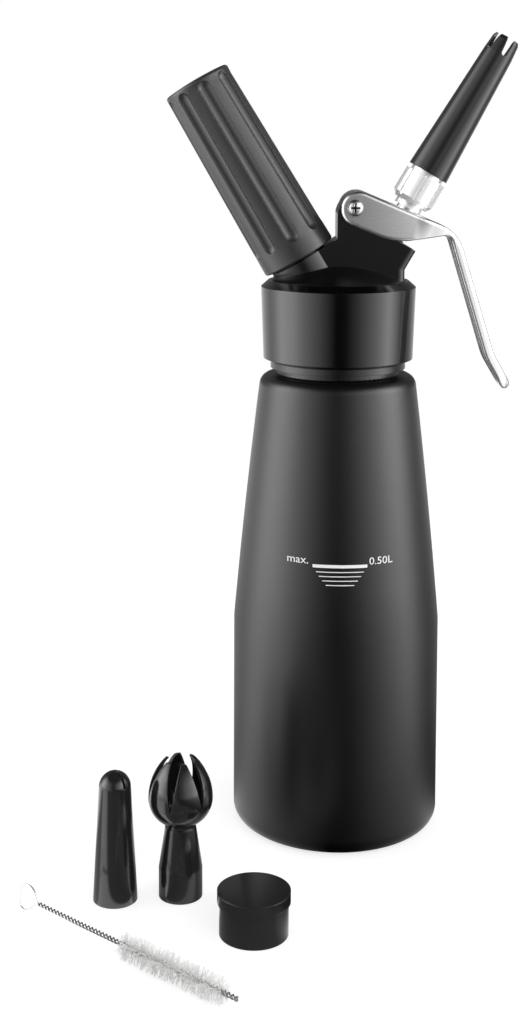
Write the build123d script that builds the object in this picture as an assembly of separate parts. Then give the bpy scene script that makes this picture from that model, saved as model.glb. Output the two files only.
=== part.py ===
"""Whipped cream dispenser of half a litre, with its spare tips, inlet cap and cleaning brush.

Millimetres. +Z is up, the origin is the middle of the bottle's flat base, the lever is on
the +X side and the charger holder on the -X side. The nozzle and the charger holder lie on
two tilted axes that cross the bottle's axis, and each has its own plane, whose origin is
where it crosses. Heights on those two axes are counted from there.
"""
from build123d import *
from math import atan2, cos, degrees, radians, sin, sqrt, tan
import os

# ---------------------------------------------------------------- bottle
BOTTLE_R = 40.0            # straight lower part
BOTTLE_WALL = 1.2
BASE_EDGE_R = 6.0
TAPER_Z = 81.0             # the straight part ends and the taper starts
TAPER_BOW = 0.45           # how far the taper bows out of a straight line
SHOULDER_R = 29.9
SHOULDER_Z = 176.7
SHOULDER_EDGE_R = 4.4
NECK_R = 23.3              # neck under its thread
NECK_ROOT_R = 0.8
MOUTH_Z = 201.0

# ---------------------------------------------------------------- head and collar
THREAD_DEPTH = 0.7
THREAD_PLAY = 0.3
SKIRT_WALL = 1.8
SKIRT_GAP = 2.5            # open ring between the shoulder and the skirt
GASKET_T = 2.5
GASKET_W = 2.7
GASKET_PLAY = 0.1
CEILING_T = 9.5            # from the gasket's seat to the rim of the dome
DOME_RISE = 6.8
COLLAR_PLAY = 0.05
COLLAR_R = 29.9            # widest, under the top chamfer
COLLAR_FOOT_R = 28.9
COLLAR_TOP_R = 27.2
COLLAR_CHAMFER = 2.4
COLLAR_FOOT_CHAMFER = 1.3
COLLAR_LIFT = 2.5          # skirt left bare under the collar

# ---------------------------------------------------------------- nozzle and holder axes
NOZZLE_TILT = 30.0
NOZZLE_CROSS_Z = 195.5     # height where the nozzle axis crosses the bottle's axis
HOLDER_TILT = 30.7
HOLDER_CROSS_Z = 196.2
NOZZLE_FACE = 39.8         # height of the wedge's sloping top face on the nozzle axis
NOZZLE_FACE_HALF = 10.5
WEDGE_EDGE_R = 2.7
WEDGE_BACK_X = -15.5
WEDGE_SINK = 4.0           # the wedge's root lies this far under the dome's rim
NOSE_FOOT_X = 24.9         # the wedge's nose slopes in as far as this, then stands upright
HOLDER_FACE = 29.8         # height of the holder's lower end on its axis
HOLDER_GAP = 0.8
BOSS_R = 12.4
BOSS_DEPTH = 11.6

# ---------------------------------------------------------------- lever pressing
PIVOT_X = 5.7
PIVOT_Z = 241.4
LEVER_SLOPE = 22.7         # fall of the lever's back at rest
SQUEEZE = 13.0             # full squeeze
SHEET = 1.4
EAR_R = 6.75
EAR_SHIFT = 1.35           # the ears' round ends are centred this far along the lever from the pivot
LEVER_HALF = 11.5
EAR_PLAY = 0.3
PLATE_START = -1.0         # the back starts here, measured along it from the pivot
BEND_AT = 40.3
BEND_TURN = 50.4
BEND_R = 15.0
HANDLE_RUN = 49.4
KNEE_TURN = 13.3
KNEE_R = 28.0
TOE_RUN = 12.0
HANDLE_DEPTH = 3.9
BEND_DEPTH = 2.6
SKIRT_STRAIGHT = 18.3
SKIRT_CURVE_R = 25.0
ARMPIT_R = 3.0
NECKING_START = 27.0
NECKING_END = 39.5
NECKING_R = 14.0
HANDLE_HALF = 6.2
TOE_HALF = 7.0
LEVER_EDGE_R = 1.4         # rolled edge between the back and the sides

# ---------------------------------------------------------------- pivot screw
PIN_R = 1.95
PIN_PLAY = 0.05
POST_TOP_R = 4.8
POST_BACK = 6.65           # back of the post, behind the pivot
POST_BACK_DROP = 2.2       # the back's straight part ends this far under the pivot
POST_BACK_R = 9.0
SCREW_HEAD_R = 3.15
SCREW_HEAD_T = 1.6
RECESS_W = 0.8
RECESS_L = 3.6
RECESS_DEPTH = 0.9
NUT_FLATS = 7.0
NUT_T = 3.2
SIDE_PLAY = 0.1
THREAD_END = 0.6

# ---------------------------------------------------------------- valve
STEM_R = 4.0
STEM_BORE_R = 2.5
STEM_PLAY = 0.05
CREAM_GAP = 0.8
SEAT_R = 7.2
SEAT_FACE = 5.1
SEAL_R = 6.2
SEAL_T = 3.0
STEM_SPIGOT_R = 3.2
STEM_FLANGE_R = 5.0
STEM_FLANGE_T = 1.2
STEM_FLOOR = 3.0           # solid end of the stem over its seal
PORT_R = 1.4
PORT_COUNT = 4
PORT_TURN = 45.0
GUIDE_R = 7.6
GUIDE_LENGTH = 12.8
POCKET_R = 6.4
POCKET_DEPTH = 4.8
RING_WIRE_R = 0.85
RING_LIFT = 3.9
SPRING_WIRE_R = 0.55
SPRING_R = 5.4
SPRING_TURNS = 5.5
WASHER_R = 6.5
WASHER_T = 2.5
WASHER_DOME_R = 14.0
WASHER_PLAY = 0.15
SLOT_PLAY = 0.4

# ---------------------------------------------------------------- adapter and tips
ADAPTER_PLAY = 0.8         # from the lever's back to the adapter
ADAPTER_R = 8.3
ADAPTER_FOOT_R = 5.5
ADAPTER_FOOT_H = 2.15
ADAPTER_CHAMFER_R = 6.8
ADAPTER_CHAMFER_H = 2.0
ADAPTER_BODY_H = 9.7
ADAPTER_RING_R = 6.6
ADAPTER_RING_H = 1.7
SPIGOT_R = 5.4
SPIGOT_H = 8.0
STEM_END = 4.0             # from the stem's end to the tip's seat
GROOVES = 8
GROOVE_W = 1.4
GROOVE_DEPTH = 0.5
SOCKET_R = 5.6
SOCKET_DEPTH = 9.0
TIP_BORE_R = 3.9
TIP_STEP_R = 5.0
STAR_R = 8.15
STAR_LENGTH = 59.3
STAR_ROOT_R = 5.9
STAR_TOP_R = 5.4
STAR_PRONGS = 5
PRONG_LENGTH = 7.0
PRONG_SLOT = 2.2
PRONG_FLARE = 3.3
PRONG_TURN = -4.0
PRONG_CHAMFER = 1.2
TULIP_R = 7.75
TULIP_FOOT_H = 10.5
TULIP_STALK_R = 5.5        # the stalk's top, with a small lip under the waist
TULIP_STALK_Z = 25.4
TULIP_WAIST_R = 5.1
TULIP_WAIST_Z = 26.6
TULIP_BULB_R = 11.4
TULIP_BULB_Z = 35.6
TULIP_TOP_R = 5.7
TULIP_H = 49.6
TULIP_WALL = 1.4
PETALS = 6
PETAL_TURN = -106.0
PETAL_CUT_Z = 34.0
PETAL_CUT_W = 3.8
PETAL_CUT_BOW = 0.75       # share of the cut's width reached halfway up
STRAIGHT_R = 7.84
STRAIGHT_H = 46.4
STRAIGHT_TOP_R = 5.65
STRAIGHT_SLITS = 3
SLIT_W = 0.9
SLIT_DEPTH = 5.0
SLIT_TURN = -166.0

# ---------------------------------------------------------------- charger, holder and inlet
HOLDER_LENGTH = 78.8
HOLDER_R = 14.8
HOLDER_TOP_R = 13.35
HOLDER_DOME = 0.8
HOLDER_FLOOR_EDGE_R = 0.8
HOLDER_TOP_EDGE_R = 1.2
FLUTES = 9
FLUTE_R = 3.2
FLUTE_DEPTH = 1.5
FLUTE_START = 6.5
FLUTE_END = 1.8            # plain band left under the holder's top
FLUTE_TURN = -82.0
INSERT_R = 12.4
INSERT_LENGTH = 12.7
INSERT_RECESS = 0.3
INLET_R = 10.5
INLET_PLAY = 0.2
INLET_LENGTH = 12.0
INLET_ROOT_R = 8.0
INLET_ROOT = 10.0
NECK_POCKET_R = 4.2
NECK_POCKET = 4.2
INLET_SEAL_T = 1.2
PIERCER_R = 1.2
PIERCER_BORE_R = 0.5
PIERCER_POINT = 1.0
PIERCER_STEM = 14.0
PIERCER_REACH = 1.0        # the pin's full width stands this far inside the charger
CHECK_R = 3.2
CHECK_T = 3.2
GAS_DUCT_R = 1.3
CHARGER_R = 8.9
CHARGER_LENGTH = 65.5
CHARGER_WALL = 1.3
CHARGER_NECK_R = 3.8
CHARGER_NECK_H = 5.5
CHARGER_SHOULDER_H = 7.0
PIERCED_R = 1.5
CHARGER_PLAY = 0.3

# ---------------------------------------------------------------- spare pieces beside the bottle
TULIP_AT = (-57.5, -67.6)
STRAIGHT_AT = (-80.4, -70.6)
CAP_AT = (-31.3, -94.0)
CAP_R = 11.8
CAP_LIP_R = 12.5
CAP_LIP_H = 4.0
CAP_H = 15.8
CAP_CROWN = 0.7
CAP_DEPTH = 11.0
BRUSH_AT = (-105.7, -84.6)
BRUSH_TURN = -40.0
BRUSH_LENGTH = 91.0
BRUSH_WIRE_R = 0.7
BRUSH_TWIST_R = 0.9
BRISTLES_FROM = 41.0
BRISTLES_TO = 86.0
BRISTLE_R = 5.0
BRISTLE_TAPER = 2.0
LOOP_R = 4.3

# ---------------------------------------------------------------- worked out from the above
SHAPE_GRAIN = 0.01         # heights closer than this are one height
STRAIGHT_ACROSS = 0.95     # an edge's share of heading across, from which it runs straight across
OVERCUT = 1.0              # how far a cut runs on past the face it opens
WIRE_SIDES = 8             # a thin wire's round section is drawn with this many flats
TILT = radians(NOZZLE_TILT)
SKIRT_BORE_R = NECK_R + THREAD_DEPTH + THREAD_PLAY
SKIRT_R = SKIRT_BORE_R + SKIRT_WALL
SKIRT_Z = SHOULDER_Z + SKIRT_GAP
CEILING_Z = MOUTH_Z + GASKET_T
WEDGE_HALF = LEVER_HALF - SHEET - EAR_PLAY
RIM_Z = CEILING_Z + CEILING_T


def leaning(x, z, angle):
    """Plane in the XZ plane's depth whose Z axis leans to +X by an angle."""
    lean = radians(angle)
    return Plane(origin=(x, 0, z), x_dir=(cos(lean), 0, -sin(lean)), z_dir=(sin(lean), 0, cos(lean)))


NOZZLE = leaning(0, NOZZLE_CROSS_Z, NOZZLE_TILT)
HOLDER = leaning(0, HOLDER_CROSS_Z, -HOLDER_TILT)
PIVOT = leaning(PIVOT_X, PIVOT_Z, LEVER_SLOPE)


def on_axis(plane, across, height):
    """World X and Z of a point in a tilted plane, from its distance off the axis and its height."""
    spot = plane.from_local_coords(Vector(across, 0, height))
    return (spot.X, spot.Z)


def crossing(squeeze, depth):
    """Where the nozzle axis crosses the lever's back: along the lever, and up the axis."""
    slope = radians(LEVER_SLOPE + squeeze)
    rise = NOZZLE_CROSS_Z - PIVOT_Z
    height = (depth + PIVOT_X * sin(slope) - rise * cos(slope)) / cos(slope - TILT)
    along = -PIVOT_X * cos(slope) - rise * sin(slope) + height * sin(TILT - slope)
    return along, height


BACK_UNDER = EAR_R - SHEET
SPRING_BASE = NOZZLE_FACE - POCKET_DEPTH
WASHER_TOP = crossing(0, BACK_UNDER)[1] - WASHER_PLAY
ADAPTER_FOOT = crossing(0, EAR_R)[1] + ADAPTER_PLAY
ADAPTER_BODY = ADAPTER_FOOT + ADAPTER_FOOT_H + ADAPTER_CHAMFER_H
ADAPTER_TOP = ADAPTER_BODY + ADAPTER_BODY_H
TIP_SEAT = ADAPTER_TOP + ADAPTER_RING_H
CHARGER_SEAT = HOLDER_FACE + INLET_LENGTH - HOLDER_GAP - NECK_POCKET + INLET_SEAL_T
VALVE_TRAVEL = crossing(0, BACK_UNDER)[1] - crossing(SQUEEZE, BACK_UNDER)[1]


# ---------------------------------------------------------------- helpers
def face_of(*lines):
    """Closed face in the XZ plane from lines that join end to end."""
    return Plane.XZ * make_face(Curve() + list(lines))


def turned(*outline):
    """Solid turned about Z from (radius, height) corners."""
    return revolve(face_of(Polyline(*outline, close=True)), Axis.Z)


def ring(outer, inner, low, high):
    """Plain ring or bush about Z."""
    return turned((inner, low), (outer, low), (outer, high), (inner, high))


def rod(radius, low, high):
    """Plain cylinder about Z between two heights."""
    return Pos(0, 0, low) * Cylinder(radius, high - low, align=(Align.CENTER, Align.CENTER, Align.MIN))


def wire_section(radius):
    """Section of a thin wire or cord."""
    return RegularPolygon(radius, WIRE_SIDES)


def wire_ring(centre_r, radius):
    """Ring of thin wire or cord about Z."""
    return revolve(Plane.XZ * Pos(centre_r, 0) * wire_section(radius), Axis.Z)


def rims_at(shape, height):
    """Whole circular edges of a turned solid at a height, the smallest first."""
    closed = shape.edges().filter_by(lambda edge: edge.is_closed)
    rims = closed.filter_by(lambda edge: abs(edge.center().Z - height) < SHAPE_GRAIN)
    return rims.sort_by(lambda edge: edge.radius)


def around(count, turn, cutter):
    """Copies of one cutter, evenly spaced about Z."""
    return [place * cutter for place in PolarLocations(0, count, start_angle=turn)]


# ---------------------------------------------------------------- bottle
def bottle_form(inset, top):
    """Outer form of the bottle, or its inside when inset by the wall."""
    foot_r = BASE_EDGE_R - inset
    side_r = BOTTLE_R - inset
    neck_r = NECK_R - inset
    shoulder = (SHOULDER_R - inset, SHOULDER_Z - inset)
    middle = ((side_r + shoulder[0]) / 2 + TAPER_BOW, (TAPER_Z + shoulder[1]) / 2)
    base = Polyline((0, top), (0, inset), (side_r - foot_r, inset))
    edge = RadiusArc((side_r - foot_r, inset), (side_r, inset + foot_r), -foot_r)
    side = Line((side_r, inset + foot_r), (side_r, TAPER_Z))
    taper = ThreePointArc((side_r, TAPER_Z), middle, shoulder)
    neck = Polyline(shoulder, (neck_r, shoulder[1]), (neck_r, top), (0, top))
    form = revolve(face_of(base, edge, side, taper, neck), Axis.Z)
    form = fillet(rims_at(form, shoulder[1])[0], NECK_ROOT_R + inset)
    return fillet(rims_at(form, shoulder[1])[-1], SHOULDER_EDGE_R - inset)


def bottle():
    """Drawn bottle with a straight foot, a bowed taper, a shoulder and a narrow neck."""
    return bottle_form(0, MOUTH_Z) - bottle_form(BOTTLE_WALL, MOUTH_Z + OVERCUT)


# ---------------------------------------------------------------- head
def post_outline():
    """Corners and arcs of the wedge and its pivot post, seen from the side."""
    root_z = RIM_Z - WEDGE_SINK
    boss = HOLDER_FACE - HOLDER_GAP
    back_x = PIVOT_X - POST_BACK
    left_low = (WEDGE_BACK_X, root_z)
    climb = tan(radians(HOLDER_TILT))
    level = HOLDER_CROSS_Z + boss / cos(radians(HOLDER_TILT))
    left_high = (WEDGE_BACK_X, level + WEDGE_BACK_X * climb)
    notch = (back_x, level + back_x * climb)
    back_top = (back_x, PIVOT_Z - POST_BACK_DROP)
    crown = (PIVOT_X - POST_TOP_R / 3, PIVOT_Z + sqrt(POST_TOP_R**2 - (POST_TOP_R / 3) ** 2))
    front_top = (PIVOT_X + POST_TOP_R, PIVOT_Z)
    face_left = on_axis(NOZZLE, -NOZZLE_FACE_HALF, NOZZLE_FACE)
    front_low = (front_top[0], face_left[1] - (front_top[0] - face_left[0]) * tan(TILT))
    face_right = on_axis(NOZZLE, NOZZLE_FACE_HALF, NOZZLE_FACE)
    nose_foot = (NOSE_FOOT_X, face_right[1] - (face_right[0] - NOSE_FOOT_X) / tan(TILT))
    right_low = (NOSE_FOOT_X, root_z)
    return [
        Polyline(right_low, left_low, left_high, notch, back_top),
        RadiusArc(back_top, crown, POST_BACK_R),
        RadiusArc(crown, front_top, POST_TOP_R),
        Polyline(front_top, front_low, face_right, nose_foot, right_low),
    ]


def head_body():
    """Moulded head: skirt, dome, wedge with pivot post, and the seats of both axes."""
    rise = DOME_RISE
    shell = face_of(
        Polyline((0, RIM_Z + rise), (0, CEILING_Z), (SKIRT_BORE_R, CEILING_Z), (SKIRT_BORE_R, SKIRT_Z)),
        Polyline((SKIRT_BORE_R, SKIRT_Z), (SKIRT_R, SKIRT_Z), (SKIRT_R, RIM_Z)),
        RadiusArc((SKIRT_R, RIM_Z), (0, RIM_Z + rise), -(SKIRT_R**2 + rise**2) / (2 * rise)),
    )
    head = revolve(shell, Axis.Z)
    wedge = extrude(face_of(*post_outline()), amount=WEDGE_HALF, both=True)
    front = wedge.faces().sort_by(Axis.X)[-2:].edges()
    wedge = fillet(front.filter_by(lambda edge: abs(edge.center().Y) > WEDGE_HALF / 2), WEDGE_EDGE_R)
    boss_top = HOLDER_FACE - HOLDER_GAP
    head += wedge
    head += HOLDER * rod(BOSS_R, boss_top - BOSS_DEPTH, boss_top)
    head += NOZZLE * rod(SEAT_R, SEAT_FACE, SEAT_FACE + GUIDE_LENGTH)
    guide_low = NOZZLE_FACE - GUIDE_LENGTH
    head -= NOZZLE * rod(STEM_R + CREAM_GAP, SEAT_FACE - OVERCUT, guide_low)
    head -= NOZZLE * rod(GUIDE_R + STEM_PLAY, guide_low, NOZZLE_FACE + GUIDE_LENGTH / 3)
    root_low = boss_top - INLET_ROOT
    head -= HOLDER * rod(INLET_ROOT_R + STEM_PLAY, root_low, boss_top + OVERCUT)
    head -= HOLDER * rod(CHECK_R + STEM_PLAY, root_low - CHECK_T, root_low)
    duct_x, duct_z = on_axis(HOLDER, 0, root_low - CHECK_T)
    head -= Pos(duct_x, 0, 0) * rod(GAS_DUCT_R, CEILING_Z - OVERCUT, duct_z)
    head -= Pos(PIVOT_X, 0, PIVOT_Z) * Rot(90, 0, 0) * Cylinder(PIN_R + PIN_PLAY, 4 * WEDGE_HALF)
    return head


def collar_sleeve():
    """Smooth sleeve round the head's skirt, wider at the top, chamfered at both ends."""
    bore = SKIRT_R + COLLAR_PLAY
    low = SKIRT_Z + COLLAR_LIFT
    return turned(
        (bore, low),
        (bore + COLLAR_PLAY, low),
        (COLLAR_FOOT_R, low + COLLAR_FOOT_CHAMFER),
        (COLLAR_R, RIM_Z - COLLAR_CHAMFER),
        (COLLAR_TOP_R, RIM_Z),
        (bore, RIM_Z),
    )


def head_gasket():
    """Flat sealing ring between the bottle's mouth and the head."""
    outer = SKIRT_BORE_R - GASKET_PLAY
    return ring(outer, outer - GASKET_W, MOUTH_Z, CEILING_Z)


# ---------------------------------------------------------------- lever
def inset_corner(corner, heading_in, heading_out, depth_in, depth_out):
    """A corner of the lever's back, moved in from each of its two runs."""
    normal_in = (sin(radians(heading_in)), -cos(radians(heading_in)))
    normal_out = (sin(radians(heading_out)), -cos(radians(heading_out)))
    square = normal_in[0] * normal_out[0] + normal_in[1] * normal_out[1]
    share_in = (depth_in - depth_out * square) / (1 - square**2)
    share_out = (depth_out - depth_in * square) / (1 - square**2)
    across = share_in * normal_in[0] + share_out * normal_out[0]
    down = share_in * normal_in[1] + share_out * normal_out[1]
    return (corner[0] + across, corner[1] + down)


def step(start, heading, length):
    """The point at a length and heading from another."""
    return (start[0] + length * cos(radians(heading)), start[1] + length * sin(radians(heading)))


def lever_back(bend_depth, depth):
    """Bend, knee and toe of the lever's back, moved in by a depth."""
    bend = (BEND_AT, EAR_R)
    knee = step(bend, -BEND_TURN, HANDLE_RUN)
    toe_heading = KNEE_TURN - BEND_TURN
    toe = step(knee, toe_heading, TOE_RUN)
    return (
        inset_corner(bend, 0, -BEND_TURN, bend_depth, depth),
        inset_corner(knee, -BEND_TURN, toe_heading, depth, depth),
        step(toe, toe_heading - 90, depth),
    )


def lever_plan(inset):
    """Flat outline of the lever seen square to its back, as a tall prism."""
    wide = LEVER_HALF - inset
    slim = HANDLE_HALF - inset
    toe_half = TOE_HALF - inset
    toe = lever_back(0, 0)[2][0] + HANDLE_DEPTH / 2 - inset
    start = -2 * EAR_R
    edge = FilletPolyline(
        (start, wide), (NECKING_START, wide), (NECKING_END, slim), (toe - toe_half, toe_half),
        radius=[NECKING_R, NECKING_R],
    )
    end = RadiusArc((toe - toe_half, toe_half), (toe, 0), toe_half)
    half = make_face(Curve() + [edge, end, Polyline((toe, 0), (start, 0), (start, wide))])
    tall = 4 * LEVER_HALF + HANDLE_RUN
    return Pos(0, 0, -tall) * extrude(half + mirror(half, Plane.XZ), amount=2 * tall)


def follows(wire, edge):
    """Whether an edge runs beside a wire of the XZ plane, and not straight across it."""
    middle = edge @ 0.5
    across = abs((edge % 0.5).Y)
    return across < STRAIGHT_ACROSS and wire.distance_to(Vertex(middle.X, 0, middle.Z)) < SHAPE_GRAIN


def lever():
    """Sheet-metal lever: two ears, a flat back with the stem's slot, and a channel handle."""
    bend, knee, toe = lever_back(0, 0)
    armpit, knee_in, toe_in = lever_back(BEND_DEPTH, HANDLE_DEPTH)
    toe_middle = ((toe[0] + toe_in[0]) / 2, (toe[1] + toe_in[1]) / 2)
    toe_end = step(toe_middle, KNEE_TURN - BEND_TURN, HANDLE_DEPTH / 2)
    ear_low = (EAR_SHIFT, -EAR_R)
    ear_high = (EAR_SHIFT, EAR_R)
    ear = ThreePointArc(ear_low, (EAR_SHIFT - EAR_R, 0), ear_high)
    back = FilletPolyline(ear_high, bend, knee, toe, radius=[BEND_R, KNEE_R])
    under = FilletPolyline(
        toe_in, knee_in, armpit, (SKIRT_STRAIGHT, -EAR_R), ear_low,
        radius=[KNEE_R - HANDLE_DEPTH, ARMPIT_R, SKIRT_CURVE_R],
    )
    side = face_of(ear, back, ThreePointArc(toe, toe_end, toe_in), under)
    blank = extrude(side, amount=2 * LEVER_HALF, both=True) & lever_plan(0)
    rolled = Plane.XZ * Wire([*ear.edges(), *back.edges()])
    blank = fillet(blank.edges().filter_by(lambda edge: follows(rolled, edge)), LEVER_EDGE_R)
    bend, knee, toe = lever_back(SHEET, SHEET)
    deep = -HANDLE_RUN - 4 * EAR_R
    hollow = face_of(
        FilletPolyline((PLATE_START, BACK_UNDER), bend, knee, toe, radius=[BEND_R - SHEET, KNEE_R + SHEET]),
        Polyline(toe, (toe[0], deep), (-2 * EAR_R, deep), (-2 * EAR_R, 2 * EAR_R)),
        Polyline((-2 * EAR_R, 2 * EAR_R), (PLATE_START, 2 * EAR_R), (PLATE_START, BACK_UNDER)),
    )
    pressing = blank - (extrude(hollow, amount=2 * LEVER_HALF, both=True) & lever_plan(SHEET))
    rest = crossing(0, EAR_R)[0]
    squeezed = crossing(SQUEEZE, BACK_UNDER)[0]
    width = 2 * (STEM_R + SLOT_PLAY)
    slot = SlotOverall(abs(rest - squeezed) + width + SLOT_PLAY, width)
    pressing -= Pos((rest + squeezed) / 2, 0, 0) * extrude(slot, amount=2 * EAR_R)
    pressing -= Rot(90, 0, 0) * Cylinder(PIN_R + PIN_PLAY, 4 * LEVER_HALF)
    return PIVOT * pressing


def pivot_screw():
    """Cross-head screw through the ears and the post."""
    head_face = LEVER_HALF + SIDE_PLAY
    end = LEVER_HALF + SIDE_PLAY + NUT_T + THREAD_END
    crown = SCREW_HEAD_T / 2
    screw = turned(
        (0, -end), (PIN_R, -end), (PIN_R, head_face), (SCREW_HEAD_R, head_face),
        (SCREW_HEAD_R, head_face + crown), (SCREW_HEAD_R - crown, head_face + SCREW_HEAD_T),
        (0, head_face + SCREW_HEAD_T),
    )
    recess_z = head_face + SCREW_HEAD_T - RECESS_DEPTH / 2
    screw -= Pos(0, 0, recess_z) * Box(RECESS_L, RECESS_W, RECESS_DEPTH)
    screw -= Pos(0, 0, recess_z) * Box(RECESS_W, RECESS_L, RECESS_DEPTH)
    return Pos(PIVOT_X, 0, PIVOT_Z) * Rot(90, 0, 0) * screw


def pivot_nut():
    """Hexagon nut on the far end of the pivot screw."""
    blank = extrude(RegularPolygon(NUT_FLATS / 2, 6, major_radius=False), amount=NUT_T)
    low = -LEVER_HALF - SIDE_PLAY - NUT_T
    nut = Pos(0, 0, low) * blank - rod(PIN_R + PIN_PLAY, low - OVERCUT, low + NUT_T + OVERCUT)
    return Pos(PIVOT_X, 0, PIVOT_Z) * Rot(90, 0, 0) * nut


# ---------------------------------------------------------------- valve
def valve_guide():
    """Metal guide of the stem, with the spring's pocket and the seal ring's groove."""
    low = NOZZLE_FACE - GUIDE_LENGTH
    bore = STEM_R + STEM_PLAY
    groove_r = bore + 2 * RING_WIRE_R + STEM_PLAY
    groove = low + RING_LIFT - RING_WIRE_R - STEM_PLAY
    guide = ring(GUIDE_R, bore, low, NOZZLE_FACE)
    guide -= ring(groove_r, bore / 2, groove, groove + 2 * (RING_WIRE_R + STEM_PLAY))
    return NOZZLE * (guide - rod(POCKET_R, SPRING_BASE, NOZZLE_FACE + OVERCUT))


def stem_seal_ring():
    """Round-section rubber ring in the guide's groove."""
    centre_r = STEM_R + 2 * STEM_PLAY + RING_WIRE_R
    return NOZZLE * Pos(0, 0, NOZZLE_FACE - GUIDE_LENGTH + RING_LIFT) * wire_ring(centre_r, RING_WIRE_R)


def valve_stem():
    """Hollow stem: a flange that holds the seal, cross ports, and a bore to the tip."""
    top = TIP_SEAT - STEM_END
    flange = SEAT_FACE - SEAL_T - STEM_FLANGE_T
    stem = turned(
        (0, flange), (STEM_FLANGE_R, flange), (STEM_FLANGE_R, SEAT_FACE - SEAL_T),
        (STEM_SPIGOT_R, SEAT_FACE - SEAL_T), (STEM_SPIGOT_R, SEAT_FACE), (STEM_R, SEAT_FACE),
        (STEM_R, top), (0, top),
    )
    stem -= rod(STEM_BORE_R, SEAT_FACE + STEM_FLOOR, top + OVERCUT)
    port_z = SEAT_FACE + STEM_FLOOR + PORT_R
    port = Pos(STEM_R / 2, 0, port_z) * Rot(0, 90, 0) * Cylinder(PORT_R, 2 * STEM_R)
    return NOZZLE * (stem - around(PORT_COUNT, PORT_TURN, port))


def valve_seal():
    """Rubber seal on the stem's inner end, coned towards the cream."""
    low = SEAT_FACE - SEAL_T
    bore = STEM_SPIGOT_R + STEM_PLAY
    return NOZZLE * turned(
        (bore, low), (STEM_FLANGE_R, low), (SEAL_R, low + SEAL_T / 2),
        (SEAL_R, SEAT_FACE), (bore, SEAT_FACE),
    )


def thrust_washer():
    """Domed washer on the stem, pushed by the lever's back and held up by the spring."""
    sag = WASHER_DOME_R - sqrt(WASHER_DOME_R**2 - WASHER_R**2)
    crown = WASHER_DOME_R - sqrt(WASHER_DOME_R**2 - (STEM_R + STEM_PLAY) ** 2)
    low = WASHER_TOP - WASHER_T
    bore = STEM_R + STEM_PLAY
    side = face_of(
        Polyline((bore, WASHER_TOP - crown), (bore, low), (WASHER_R, low), (WASHER_R, WASHER_TOP - sag)),
        RadiusArc((WASHER_R, WASHER_TOP - sag), (bore, WASHER_TOP - crown), -WASHER_DOME_R),
    )
    return NOZZLE * revolve(side, Axis.Z)


def valve_spring():
    """Coil spring between the guide's pocket and the thrust washer."""
    low = SPRING_BASE + SPRING_WIRE_R
    length = WASHER_TOP - WASHER_T - SPRING_WIRE_R - low
    path = Helix(length / SPRING_TURNS, length, SPRING_R)
    start = Plane(origin=path @ 0, z_dir=path % 0)
    return NOZZLE * Pos(0, 0, low) * sweep(start * wire_section(SPRING_WIRE_R), path)


def nozzle_adapter():
    """Grooved nut on the stem, with the spigot that the tip screws on."""
    foot = ADAPTER_FOOT
    blank = turned(
        (0, foot), (ADAPTER_FOOT_R, foot), (ADAPTER_FOOT_R, foot + ADAPTER_FOOT_H),
        (ADAPTER_CHAMFER_R, foot + ADAPTER_FOOT_H), (ADAPTER_R, ADAPTER_BODY), (ADAPTER_R, ADAPTER_TOP),
        (ADAPTER_RING_R, ADAPTER_TOP), (ADAPTER_RING_R, TIP_SEAT), (SPIGOT_R, TIP_SEAT),
        (SPIGOT_R, TIP_SEAT + SPIGOT_H), (0, TIP_SEAT + SPIGOT_H),
    )
    blank -= rod(STEM_R + STEM_PLAY, foot - OVERCUT, TIP_SEAT - STEM_END)
    blank -= rod(STEM_BORE_R, foot, TIP_SEAT + SPIGOT_H + OVERCUT)
    groove_low = foot + ADAPTER_FOOT_H
    groove_middle = (groove_low + ADAPTER_TOP) / 2
    groove = Pos(ADAPTER_R, 0, groove_middle) * Box(2 * GROOVE_DEPTH, GROOVE_W, ADAPTER_TOP - groove_low)
    return NOZZLE * (blank - around(GROOVES, 0, groove))


# ---------------------------------------------------------------- tips
def star_tip():
    """Decorating tip: a long cone with prongs round its mouth."""
    root = STAR_LENGTH - PRONG_LENGTH
    past = STAR_LENGTH + OVERCUT
    cone = turned(
        (0, 0), (STAR_R, 0), (STAR_ROOT_R, root), (STAR_TOP_R, STAR_LENGTH - PRONG_CHAMFER),
        (STAR_TOP_R - PRONG_CHAMFER / 2, STAR_LENGTH), (0, STAR_LENGTH),
    )
    cone -= rod(SOCKET_R, -OVERCUT, SOCKET_DEPTH)
    cone -= turned((0, 0), (TIP_STEP_R, 0), (TIP_STEP_R, SOCKET_DEPTH), (TIP_BORE_R, past), (0, past))
    half = PRONG_SLOT / 2
    flare = PRONG_FLARE / 2
    right = (half, root + half)
    left = (-half, root + half)
    sides = Line((flare, past), right) + Polyline(left, (-flare, past), (flare, past))
    notch = make_face(sides + RadiusArc(right, left, half))
    cutter = extrude(Plane.YZ * notch, amount=2 * STAR_R)
    return NOZZLE * Pos(0, 0, TIP_SEAT) * (cone - around(STAR_PRONGS, PRONG_TURN, cutter))


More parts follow.
